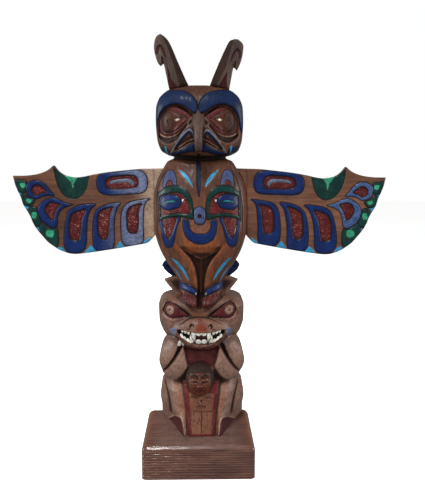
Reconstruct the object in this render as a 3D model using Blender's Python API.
"""Model totem pole: a carved half-round log with a thunderbird over a bear, on a separate block.

The solids are worked out in millimetres from the sizes below and placed in metres. +Z is up,
the figures face -Y, and the origin is under the middle of the block. The log is a stack of
D-shaped sections: its back is flat, its front is rounded, and the carving is a height that is
added to the rounded front, worked out from how far a point lies from the log's middle line and
from how high it is.

A stroke below is a line of (across, height, radius) places, an oval is a middle and its two
radii, and a bend is a smooth line through (height, value) places.
"""

import math

import bmesh
import bpy
import numpy as np

MM = 0.001
FIT_GAP = 0.3

# The block that the log stands on
BLOCK_WIDTH = 107.4
BLOCK_DEPTH = 99.0
BLOCK_HEIGHT = 32.6
BLOCK_OFFSET = -2.7
BLOCK_EDGE = 4.6
BLOCK_CORNERS = ((1, 1), (-1, 1), (-1, -1), (1, -1))
CORNER_STEPS = 3
EDGE_STEPS = 4

# The log
LOG_BACK = 44.0
LOG_FOOT = BLOCK_HEIGHT + FIT_GAP
LOG_TOP = 371.0
LOG_LEAN = 0.0075
LOG_FOOT_CENTRE = 1.7
FOCUS = 60.0
ROW_STEP = 4.7
FRONT_COLUMNS = 44
SIDE_COLUMNS = 3
BACK_COLUMNS = 4

# Sections from the foot to the crown: height, half width, front, where the straight side ends
# and the rounded front begins, and how square the round is (2 is an ellipse).
SECTIONS = (
    (LOG_FOOT, 43.0, -16.0, 42.0, 1.75),
    (58.0, 43.5, -14.0, 40.0, 1.85),
    (71.0, 42.0, -11.0, 38.0, 1.9),
    (78.5, 37.6, -8.0, 34.0, 1.9),
    (88.0, 41.0, -7.0, 24.0, 1.9),
    (100.0, 43.4, -7.0, 18.0, 2.0),
    (112.0, 40.6, -6.0, 18.0, 2.0),
    (121.5, 35.0, -6.0, 20.0, 2.1),
    (130.0, 40.0, -10.0, 22.0, 2.2),
    (142.0, 43.2, -12.0, 22.0, 2.4),
    (155.5, 43.4, -12.0, 22.0, 2.6),
    (161.0, 41.2, -10.0, 24.0, 2.6),
    (164.3, 36.0, -7.0, 26.0, 2.4),
    (167.4, 24.0, -6.0, 22.0, 2.2),
    (176.0, 22.5, -8.0, 19.0, 2.2),
    (188.0, 26.6, -11.0, 16.0, 2.2),
    (200.0, 34.0, -15.0, 12.0, 2.2),
    (211.0, 39.6, -18.0, 10.0, 2.2),
    (221.0, 43.2, -20.0, 10.0, 2.2),
    (232.0, 45.6, -21.0, 10.0, 2.2),
    (252.0, 46.0, -18.5, 10.0, 2.2),
    (268.0, 45.0, -16.0, 10.0, 2.2),
    (282.0, 41.5, -12.0, 10.0, 2.2),
    (291.0, 36.4, -8.5, 10.0, 2.2),
    (297.2, 31.4, -5.5, 10.0, 2.2),
    (300.0, 25.8, 1.5, 12.0, 2.1),
    (302.2, 25.4, 3.0, 12.0, 2.1),
    (304.2, 31.0, -6.5, 13.0, 2.2),
    (310.0, 38.2, -12.0, 14.0, 2.3),
    (322.0, 41.8, -14.0, 15.0, 2.4),
    (338.0, 42.8, -14.0, 15.0, 2.5),
    (350.0, 42.4, -12.0, 15.0, 2.5),
    (359.0, 39.6, -9.0, 15.0, 2.5),
    (364.5, 34.6, -5.0, 13.0, 2.5),
    (367.5, 29.5, -2.0, 10.0, 2.6),
    (LOG_TOP, 12.0, 1.0, 8.0, 2.8),
)

# Where the foot's edge runs on the block (across, depth), and the heights over which it fades in
FOOT_LINE = (
    (0.0, -23.5), (13.0, -23.5), (14.2, -21.0), (15.4, -26.0), (17.2, -28.0), (18.6, -27.0),
    (20.7, -21.5), (24.4, -11.0), (28.1, 1.0), (31.6, 11.0), (35.0, 20.0), (39.0, 30.0), (43.0, 42.0),
)
FOOT_FADE = (58.0, 34.0)

# How far the figures' middle wanders from the log's, and how the shoulders rise round the neck
DRIFT = (
    (60.0, -1.0), (110.0, -0.6), (142.0, -0.4), (149.0, -2.0), (163.0, -1.9), (172.0, -0.3),
    (207.0, 0.2), (247.0, -0.85), (275.0, -1.4), (350.0, -1.2),
)
NECK_HEIGHT = 299.0
NECK_REACH = 7.0
NECK_RISE = 2.4

# The bear's legs and the shield between them
LEG_FADE = (32.0, 60.0)
SHIN = ((27.5, 71.0, 9.5), (24.0, 57.0, 8.0), (20.5, 47.0, 5.5), (17.4, 34.0, 2.5))
HAUNCH = ((42.0, 70.0, 6.5), (42.0, 48.0, 8.0))
LEG_CREASE = ((36.4, 74.0, 1.2), (34.0, 65.6, 1.8), (32.4, 57.4, 2.0), (31.1, 49.0, 2.2), (30.4, 43.6, 2.0))
FOOT_RIM = (
    (0.0, 20.0), (16.2, 26.0), (17.3, 36.0), (19.6, 42.0), (23.2, 44.6), (29.2, 43.4), (33.4, 36.5),
    (37.5, 32.0), (42.0, 26.0),
)
SHIELD_HALF = ((33.0, 12.2), (82.0, 17.8))
SHIELD_LIFT = ((33.0, 2.6), (56.0, 7.4), (80.0, 11.0))
SHIELD_TOP = 82.0

# The bear's arms
UPPER_ARM = ((29.0, 120.0, 6.0), (36.0, 109.0, 8.5), (41.0, 97.0, 7.5))
FOREARM = ((17.6, 113.0, 2.2), (19.5, 103.0, 5.5), (23.5, 94.0, 7.5), (32.0, 87.5, 5.5))
ARM_CREASE = ((20.0, 118.8, 3.0), (25.2, 108.6, 2.4), (29.6, 100.6, 1.9), (34.2, 93.4, 1.5))
ARM_PIT = ((15.0, 85.0, 4.5), (22.0, 80.5, 2.5))

# The bear's face
BEAR_MUZZLE = ((0.0, 130.5), (31.0, 17.5))
BEAR_NOSE = ((0.0, 141.0), (17.0, 7.0))
BEAR_MOUTH = ((0.0, 127.6), (23.0, 7.0))
MOUTH_CURL = 0.013
BEAR_LIP = (
    (24.6, 133.0, 1.6), (22.0, 128.4, 2.4), (17.0, 123.4, 3.0), (10.0, 119.6, 3.3), (0.0, 118.2, 3.4),
)
BEAR_BROW = ((32.0, 165.0, 2.2), (20.0, 160.5, 3.4), (8.0, 151.5, 3.0))
BEAR_SOCKET = ((11.0, 149.3, 1.5), (20.0, 152.5, 4.5), (29.0, 153.0, 8.0), (35.0, 151.5, 4.0))
BEAR_EYE = ((26.5, 153.6), (9.0, 7.0))

# The bird's feet, legs and belly
BIRD_FOOT = ((16.0, 171.0, 4.2), (10.5, 166.6, 5.6), (5.8, 161.8, 3.6))
BIRD_CUFF = ((20.0, 178.0, 2.8), (12.0, 175.4, 3.2), (5.6, 171.6, 2.8))
FOOT_LIFT = ((157.0, 3.4), (163.0, 6.4), (170.0, 7.2), (181.0, 3.0))
LEG_RIDGE = (
    (166.0, 2.4), (176.0, 3.2), (184.0, 3.8), (194.0, 5.6), (205.0, 10.6), (212.0, 16.2), (219.4, 21.2),
)
BELLY_FOOT = 206.0
BELLY_SLOPE = 0.62
LEG_HOLLOW = 8.0
BELLY_TURN = 4.5

# The bird's face
BIRD_BROW = (
    (43.0, 334.0, 3.5), (41.0, 346.0, 5.0), (35.0, 355.0, 7.5), (24.0, 359.2, 7.4), (13.0, 357.5, 7.2),
    (5.0, 351.5, 5.2), (2.4, 346.5, 2.6),
)
BIRD_SOCKET = ((23.0, 336.0), (17.0, 15.2))
BIRD_LID = ((23.5, 337.0), (15.5, 12.4))
BIRD_EYE = ((25.0, 336.5), (11.5, 10.2))
BIRD_MUZZLE = ((0.0, 322.0), (24.0, 20.0))
BIRD_LIP = (
    (6.0, 327.4, 2.0), (10.5, 327.4, 2.2), (16.4, 320.4, 2.2), (22.8, 311.8, 2.0), (26.4, 305.6, 1.5),
)
BIRD_MOUTH = ((5.0, 320.0, 2.6), (11.0, 317.0, 2.6), (18.5, 311.5, 1.5))
BIRD_LOWER_LIP = ((4.0, 311.0, 3.6), (13.0, 308.0, 3.0), (23.0, 304.6, 1.6))
EYE_CREASE = ((38.0, 323.4, 1.4), (30.0, 319.8, 2.0), (21.0, 321.6, 1.8), (12.0, 330.0, 1.4))

# The beak, from its root to its tip: height, half width, front
BEAK = (
    (347.6, 0.4, -13.0), (345.0, 1.5, -17.5), (341.0, 3.7, -22.5), (337.0, 6.0, -26.5),
    (333.6, 6.1, -29.6), (329.6, 4.6, -33.0), (325.0, 3.9, -35.0), (317.0, 3.8, -36.0),
    (311.5, 3.6, -34.5), (308.5, 3.1, -31.5),
)
BEAK_OFFSET = -1.3
BEAK_RIDGE = 0.3
BEAK_CHEEK = 5.0

# The small head held above the shield
SMALL_HEAD = (-1.2, -13.5, 86.0)
SMALL_HEAD_RADII = (14.0, 15.5, 17.2)

# The bear's ears and the bird's tail fan, as half outlines (across, height)
EAR_OUTLINE = ((18.0, 163.0), (25.0, 165.6), (31.0, 172.4), (37.4, 180.6), (27.0, 184.4), (18.0, 182.5))
EAR_DEPTHS = (15.0, 24.0)
TAIL_OUTLINE = (
    (15.0, 180.4), (27.0, 180.6), (33.4, 184.8), (38.6, 190.0), (39.6, 191.6), (39.2, 195.2),
    (36.6, 197.6), (33.4, 201.8), (26.0, 202.6), (15.0, 203.0),
)
TAIL_DEPTHS = (31.0, 42.3)

# The wings: half outline (across, height) from the top of the root, round the tip, to its bottom
WING_FRONT = 12.0
WING_BACK = 22.0
WING_TILT = 0.0063
WING_MIDDLE = 40.0
WING_TOP = (
    (60.0, 291.9), (88.0, 288.9), (104.0, 286.4), (115.0, 284.0), (124.5, 283.2), (134.0, 285.0),
    (140.5, 289.3), (144.7, 294.7), (150.5, 290.0), (160.0, 286.3), (172.0, 284.6), (184.5, 284.4),
)
WING_BOTTOM = (
    (182.9, 276.6), (180.6, 270.0), (177.4, 263.0), (175.6, 256.4), (171.8, 250.0), (168.4, 243.6),
    (166.6, 238.2), (162.6, 231.4), (156.6, 224.0), (151.6, 218.4), (143.8, 212.8), (136.6, 209.2),
    (129.0, 207.2), (119.0, 207.4), (92.0, 211.3), (58.5, 217.2), (52.6, 219.0), (48.0, 223.2),
)
WING_ROOT = (226.5, 293.0)

# The horns: the outer edge, the ridge and the inner edge, each from the foot to the top
HORN_FOOT = ((29.0, 368.15), (19.0, 370.1), (10.0, 371.35))
HORN_DEPTHS = {"outer": 5.5, "ridge": 3.0, "inner": 9.0, "back": 13.0}
LEFT_HORN = {
    "outer": (
        (31.2, 379.0), (33.4, 389.6), (34.2, 392.6), (35.4, 392.0), (37.2, 390.7), (39.8, 393.4),
        (41.8, 398.8), (43.2, 406.0), (42.6, 412.6), (40.6, 417.2),
    ),
    "ridge": ((22.7, 384.0), (25.6, 393.0), (31.0, 408.5)),
    "inner": ((14.0, 379.5), (20.7, 394.5), (28.2, 411.8), (33.8, 418.0)),
    "top": (37.5, 419.3),
}
RIGHT_HORN = {
    "outer": (
        (31.0, 379.0), (32.4, 386.6), (33.2, 389.4), (34.8, 388.6), (36.6, 387.0), (40.4, 395.0),
        (42.4, 406.4), (41.4, 411.0),
    ),
    "ridge": ((21.8, 382.0), (26.6, 393.5), (29.6, 402.0)),
    "inner": ((13.4, 380.0), (20.0, 395.5), (25.4, 407.0), (29.9, 414.0)),
    "top": (37.2, 414.8),
}


def ramp(start, end, value):
    """0 before start and 1 after end, with a smooth rise between; start may be the larger."""
    share = np.clip((value - start) / (end - start), 0.0, 1.0)
    return share * share * (3.0 - 2.0 * share)


def stroke(across, height, path):
    """Distance to a tapering stroke as a share of its radius: 0 on its line and 1 at its edge."""
    share = np.full(np.shape(across), 99.0)
    for (x0, z0, r0), (x1, z1, r1) in zip(path, path[1:]):
        run = (x1 - x0) ** 2 + (z1 - z0) ** 2
        along = ((across - x0) * (x1 - x0) + (height - z0) * (z1 - z0)) / run
        along = np.clip(along, 0.0, 1.0)
        gap = np.hypot(across - x0 - along * (x1 - x0), height - z0 - along * (z1 - z0))
        share = np.minimum(share, gap / (r0 + along * (r1 - r0)))
    return share


def oval(across, height, shape):
    """Distance to an oval's middle as a share of its radius."""
    (middle, level), (wide, tall) = shape
    return np.hypot((across - middle) / wide, (height - level) / tall)


def dome(share):
    """A round profile over a share: 1 in the middle and 0 at the edge."""
    return np.sqrt(np.clip(1.0 - share * share, 0.0, 1.0))


def pad(share, edge=0.35):
    """A flat-topped profile over a share, with an edge that falls over the last part of it."""
    return ramp(1.0, 1.0 - edge, share)


def bend(height, places):
    """A smooth line through (height, value) places that never overshoots, held level past its ends."""
    heights = np.array([place[0] for place in places])
    values = np.array([place[1] for place in places])
    spans = np.diff(heights)
    rates = np.diff(values) / spans
    slopes = np.zeros(len(places))
    same = rates[1:] * rates[:-1] > 0.0
    mean = 2.0 * rates[1:] * rates[:-1] / np.where(same, rates[1:] + rates[:-1], 1.0)
    slopes[1:-1] = np.where(same, mean, 0.0)
    index = np.clip(np.searchsorted(heights, height) - 1, 0, len(spans) - 1)
    span = spans[index]
    share = np.clip((height - heights[index]) / span, 0.0, 1.0)
    square, cube = share**2, share**3
    start = (2.0 * cube - 3.0 * square + 1.0) * values[index]
    start = start + (cube - 2.0 * square + share) * span * slopes[index]
    end = (3.0 * square - 2.0 * cube) * values[index + 1]
    return start + end + (cube - square) * span * slopes[index + 1]


def bear_legs(across, height):
    """Haunches and shins on both sides, with a hollow over each foot."""
    shin = 6.2 * dome(stroke(across, height, SHIN))
    haunch = 3.4 * dome(stroke(across, height, HAUNCH))
    crease = 2.2 * dome(stroke(across, height, LEG_CREASE))
    under = ramp(1.0, -1.0, height - bend(across, FOOT_RIM)) * ramp(15.6, 17.6, across)
    return (shin + haunch) * ramp(*LEG_FADE, height) - crease - 1.5 * under


def shield(across, height):
    """The flat shield that the bear holds, wider at its top."""
    half = bend(height, SHIELD_HALF)
    inside = ramp(half + 0.8, half - 0.8, across) * ramp(SHIELD_TOP + 1.0, SHIELD_TOP - 1.0, height)
    return inside * bend(height, SHIELD_LIFT)


def bear_arms(across, height):
    """Upper arms on the outside, and forearms that rise inwards to the jaw."""
    upper = 3.8 * dome(stroke(across, height, UPPER_ARM)) ** 0.6
    fore = 7.0 * dome(stroke(across, height, FOREARM)) ** 0.6
    crease = 2.4 * dome(stroke(across, height, ARM_CREASE))
    return np.maximum(upper, fore) - crease - 3.0 * pad(stroke(across, height, ARM_PIT), 0.8)


def bear_muzzle(across, height):
    """A broad muzzle with a raised nose, an open mouth and a heavy lower lip."""
    muzzle = 9.0 * dome(oval(across, height, BEAR_MUZZLE)) ** 1.3
    nose = 1.1 * dome(oval(across, height, BEAR_NOSE))
    mouth = 2.4 * pad(oval(across, height - MOUTH_CURL * across**2, BEAR_MOUTH))
    return muzzle + nose - mouth + 2.6 * dome(stroke(across, height, BEAR_LIP))


def bear_eyes(across, height):
    """Slanting sockets with a round eye in each, under a brow that runs down to the nose."""
    brow = 1.4 * dome(stroke(across, height, BEAR_BROW))
    socket = 2.2 * pad(stroke(across, height, BEAR_SOCKET), 0.4)
    return brow - socket + 2.2 * dome(oval(across, height, BEAR_EYE))


def bird_legs(across, height):
    """Thighs beside a deep hollow, a thin seam in it, the belly over it, and feet and cuffs below."""
    ridge = bend(height, LEG_RIDGE)
    belly = BELLY_FOOT + BELLY_SLOPE * across
    inside = ramp(-1.4, 2.6, ridge - across) * ramp(-0.8, 2.4, belly - height) * ramp(164.0, 168.0, height)
    seam = ramp(2.6, 0.4, across) * ramp(160.0, 166.0, height) * ramp(208.0, 202.0, height)
    turned = ramp(219.0, belly, height) * ramp(0.0, 4.0, ridge - across) * ramp(-1.0, 1.0, height - belly)
    level = -LEG_HOLLOW * inside * (1.0 - 0.5 * seam) - BELLY_TURN * turned
    foot = np.maximum(pad(stroke(across, height, BIRD_FOOT)), pad(stroke(across, height, BIRD_CUFF)))
    return np.where(foot > 0.1, np.maximum(level, foot * bend(height, FOOT_LIFT)), level)


def bird_breast(across, height):
    """A broad swelling under the painted breast."""
    return 1.3 * ramp(44.0, 20.0, across) * ramp(232.0, 254.0, height) * ramp(292.0, 270.0, height)


def bird_face(across, height):
    """Heavy brows, deep sockets with swelling eyes, and lips that sweep out from the beak."""
    muzzle = 5.0 * dome(oval(across, height, BIRD_MUZZLE))
    level = np.maximum(muzzle, 2.4 * pad(stroke(across, height, BIRD_BROW), 0.4))
    level = level - 4.8 * pad(oval(across, height, BIRD_SOCKET), 0.22)
    level = level + 2.9 * pad(oval(across, height, BIRD_LID), 0.25)
    level = level + 2.0 * dome(oval(across, height, BIRD_EYE))
    level = level + 1.3 * dome(stroke(across, height, BIRD_LIP))
    level = level - 2.0 * pad(stroke(across, height, BIRD_MOUTH))
    level = level + 1.6 * dome(stroke(across, height, BIRD_LOWER_LIP))
    return level - 1.6 * dome(stroke(across, height, EYE_CREASE))


def carving(across, height):
    """Height of the carving over the plain log."""
    across = np.abs(across - bend(height, DRIFT))
    parts = (bear_legs, bear_arms, bear_muzzle, bear_eyes, bird_legs, bird_breast, bird_face)
    figures = sum(part(across, height) for part in parts)
    held = shield(across, height)
    return np.where(held > 0.02, np.maximum(figures, held), figures)


def log_centre(height):
    """The log's middle line leans a little from its foot to its crown."""
    return LOG_FOOT_CENTRE - LOG_LEAN * height


def log_rows(step):
    """Heights of the rows: every section, and even steps between them."""
    rows = [LOG_FOOT]
    for (low, *_), (high, *_) in zip(SECTIONS, SECTIONS[1:]):
        count = max(1, round((high - low) / step))
        rows.extend(low + (high - low) * (i + 1) / count for i in range(count))
    return np.array(rows)


def section_values(height):
    """Half width, front, side end and squareness of the plain log at these heights."""
    return [bend(height, [(row[0], row[k]) for row in SECTIONS]) for k in range(1, 5)]


def front_curve(height):
    """Points (across, depth) along the plain rounded front at one height, evenly spaced along it."""
    half, front, side, square = (float(value) for value in section_values(np.array(height)))
    angle = np.linspace(-math.pi / 2, math.pi / 2, 721)
    across = half * np.sign(np.sin(angle)) * np.abs(np.sin(angle)) ** (2.0 / square)
    depth = side - (side - front) * np.cos(angle).clip(0.0) ** (2.0 / square)
    foot = np.interp(np.abs(across), *np.array(FOOT_LINE).T)
    depth = depth + (foot - depth) * ramp(*FOOT_FADE, height)
    length = np.concatenate([[0.0], np.cumsum(np.hypot(np.diff(across), 0.8 * np.diff(depth)))])
    even = np.linspace(0.0, length[-1], FRONT_COLUMNS + 1)
    return np.interp(even, length, across), np.interp(even, length, depth)


def softened(across, height):
    """The carving averaged over one cell of the mesh, which keeps small forms from breaking up."""
    spread = (-0.3 * ROW_STEP, 0.0, 0.3 * ROW_STEP)
    levels = [carving(across + a, np.full_like(across, height + b)) for a in spread for b in spread]
    return np.mean(levels, axis=0) * ramp(LOG_TOP, LOG_TOP - 9.0, height)


def log_section(height):
    """One closed row of points round the log, carving included, from its back left corner."""
    half, _, side, _ = (float(value) for value in section_values(np.array(height)))
    across, depth = front_curve(height)
    reach = np.hypot(across, depth - FOCUS)
    lift = softened(across, height) * ramp(0.0, 4.0, half - np.abs(across)) / reach
    across, depth = across * (1.0 + lift), depth + lift * (depth - FOCUS)
    wall = np.linspace(LOG_BACK, side, SIDE_COLUMNS + 1)[:-1]
    back = np.linspace(half, -half, BACK_COLUMNS + 1)[1:-1]
    x = np.concatenate([np.full(SIDE_COLUMNS, -half), across, np.full(SIDE_COLUMNS, half), back])
    y = np.concatenate([wall, depth, wall[::-1], np.full(len(back), LOG_BACK)])
    rise = NECK_RISE * math.exp(-(((height - NECK_HEIGHT) / NECK_REACH) ** 2))
    z = height + rise * ramp(4.0, 30.0, np.abs(x))
    return list(zip(x + log_centre(z), y, z))


def make_object(name, mesh_data, colour, roughness):
    """A new object from a bmesh, with its own material and outward faces."""
    mesh = bpy.data.meshes.new(name)
    bmesh.ops.recalc_face_normals(mesh_data, faces=mesh_data.faces)
    mesh_data.to_mesh(mesh)
    mesh_data.free()
    thing = bpy.data.objects.new(name, mesh)
    bpy.context.scene.collection.objects.link(thing)
    material = bpy.data.materials.new(name)
    material.use_nodes = True
    surface = material.node_tree.nodes["Principled BSDF"]
    surface.inputs["Base Color"].default_value = (*colour, 1.0)
    surface.inputs["Roughness"].default_value = roughness
    mesh.materials.append(material)
    mesh.shade_smooth()
    mesh.set_sharp_from_angle(angle=math.radians(35.0))
    return thing


def stack(rows):
    """A closed bmesh from rings of points with the same count, given in millimetres."""
    mesh = bmesh.new()
    rings = [[mesh.verts.new([value * MM for value in point]) for point in row] for row in rows]
    count = len(rings[0])
    for low, high in zip(rings, rings[1:]):
        for i in range(count):
            j = (i + 1) % count
            mesh.faces.new((low[i], low[j], high[j], high[i]))
    mesh.faces.new(rings[0])
    mesh.faces.new(rings[-1])
    bmesh.ops.triangulate(mesh, faces=mesh.faces)
    return mesh


def plate(outline, front, back):
    """A closed bmesh from an outline of (across, height) points, between two depths."""
    return stack([[(x, y, z) for x, z in outline] for y in (front, back)])


def combine(target, tool, operation):
    """Joins a helper to an object, or cuts it away, and hides the helper."""
    tool.hide_render = True
    tool.display_type = "WIRE"
    step = target.modifiers.new(f"{operation.title()} {tool.name}", "BOOLEAN")
    step.operation = operation
    step.solver = "EXACT"
    step.object = tool


def block_ring(inset, height):
    """One row of points round the block, drawn in from its sides, with round corners."""
    wide = BLOCK_WIDTH / 2 - inset
    deep = BLOCK_DEPTH / 2 - inset
    radius = max(BLOCK_EDGE - inset, 0.5)
    ring = []
    for turn, (side_x, side_y) in enumerate(BLOCK_CORNERS):
        for i in range(CORNER_STEPS + 1):
            angle = math.pi / 2 * (turn + i / CORNER_STEPS)
            x = BLOCK_OFFSET + side_x * (wide - radius) + radius * math.cos(angle)
            y = side_y * (deep - radius) + radius * math.sin(angle)
            ring.append((x, y, height))
    return ring


def make_block():
    """The block, with round upright edges and a round top edge."""
    rows = [block_ring(0.0, 0.0)]
    for i in range(EDGE_STEPS + 1):
        angle = math.pi / 2 * i / EDGE_STEPS
        inset = BLOCK_EDGE * (1.0 - math.cos(angle))
        rows.append(block_ring(inset, BLOCK_HEIGHT - BLOCK_EDGE * (1.0 - math.sin(angle))))
    return make_object("base_block", stack(rows), (0.3, 0.17, 0.1), 0.5)


def make_beak():
    """A hooked beak with a ridge down its front, rooted inside the head."""
    rows = []
    for height, half, front in BEAK:
        right = (
            (BEAK_RIDGE * half, front + 0.4),
            (half, front + BEAK_CHEEK),
            (half, 0.0),
        )
        left = [(-x, y) for x, y in reversed(right)]
        middle = log_centre(height) + BEAK_OFFSET
        rows.append([(x + middle, y, height) for x, y in (*left, *right)])
    return make_object("beak", stack(rows), (0.3, 0.22, 0.18), 0.4)


def make_small_head():
    """The egg of the small head, half sunk in the bear's chest."""
    mesh = bmesh.new()
    bmesh.ops.create_uvsphere(mesh, u_segments=16, v_segments=12, radius=1.0)
    for vert in mesh.verts:
        vert.co = [(c + r * v) * MM for c, r, v in zip(SMALL_HEAD, SMALL_HEAD_RADII, vert.co)]
    bmesh.ops.triangulate(mesh, faces=mesh.faces)
    return make_object("small_head", mesh, (0.4, 0.25, 0.15), 0.4)


def make_side_plate(name, outline, depths, side):
    """A flat carved form that stands out from one side of the log."""
    centre = log_centre(outline[0][1])
    mesh = plate([(centre + side * x, z) for x, z in outline], *depths)
    return make_object(name, mesh, (0.23, 0.1, 0.05), 0.4)


def make_log():
    """The carved log: one piece, with its beak, small head, ears and tail fan."""
    rows = [log_section(height) for height in log_rows(ROW_STEP)]
    log = make_object("pole", stack(rows), (0.23, 0.1, 0.05), 0.35)
    combine(log, make_beak(), "UNION")
    combine(log, make_small_head(), "UNION")
    for label, side in (("left", -1), ("right", 1)):
        combine(log, make_side_plate(f"ear_{label}", EAR_OUTLINE, EAR_DEPTHS, side), "UNION")
        combine(log, make_side_plate(f"tail_{label}", TAIL_OUTLINE, TAIL_DEPTHS, side), "UNION")
    return log


def make_wing(label, side):
    """A flat board whose root follows the side of the log."""
    low, high = WING_ROOT
    between = [z for z in log_rows(ROW_STEP) if low < z < high]
    root = []
    for z in (low, *between, high):
        half = float(section_values(np.array(z))[0])
        root.append((side * (half + 2.0 * FIT_GAP) + log_centre(z), z))
    rim = WING_TOP + WING_BOTTOM
    edge = [(side * x, z - side * WING_TILT * (x - WING_MIDDLE)) for x, z in rim]
    mesh = plate(root + edge, WING_FRONT, WING_BACK)
    return make_object(f"wing_{label}", mesh, (0.25, 0.12, 0.06), 0.35)


def make_horn(label, side, shape):
    """A curled plate with a ridge down its front, standing on the crown."""
    centre = log_centre(LOG_TOP)
    mesh = bmesh.new()

    def points(line, depth):
        return [mesh.verts.new(((centre + side * x) * MM, depth * MM, z * MM)) for x, z in line]

    outer = points((HORN_FOOT[0], *shape["outer"]), HORN_DEPTHS["outer"])
    ridge = points((HORN_FOOT[1], *shape["ridge"], shape["top"]), HORN_DEPTHS["ridge"])
    inner = points((HORN_FOOT[2], *shape["inner"]), HORN_DEPTHS["inner"])
    rim = outer + ridge[-1:] + inner[::-1] + ridge[:1]
    back = [mesh.verts.new((vert.co.x, HORN_DEPTHS["back"] * MM, vert.co.z)) for vert in rim]
    mesh.faces.new(outer + ridge[::-1])
    mesh.faces.new(inner + ridge[::-1])
    mesh.faces.new(back)
    for i in range(len(rim)):
        j = (i + 1) % len(rim)
        mesh.faces.new((rim[i], rim[j], back[j], back[i]))
    bmesh.ops.triangulate(mesh, faces=mesh.faces)
    return make_object(f"horn_{label}", mesh, (0.2, 0.08, 0.05), 0.35)


def main():
    """Clears the scene and makes every piece."""
    for thing in list(bpy.data.objects):
        bpy.data.objects.remove(thing, do_unlink=True)
    make_block()
    make_log()
    make_horn("left", -1, LEFT_HORN)
    make_horn("right", 1, RIGHT_HORN)
    make_wing("left", -1)
    make_wing("right", 1)


if __name__ == "__main__":
    main()
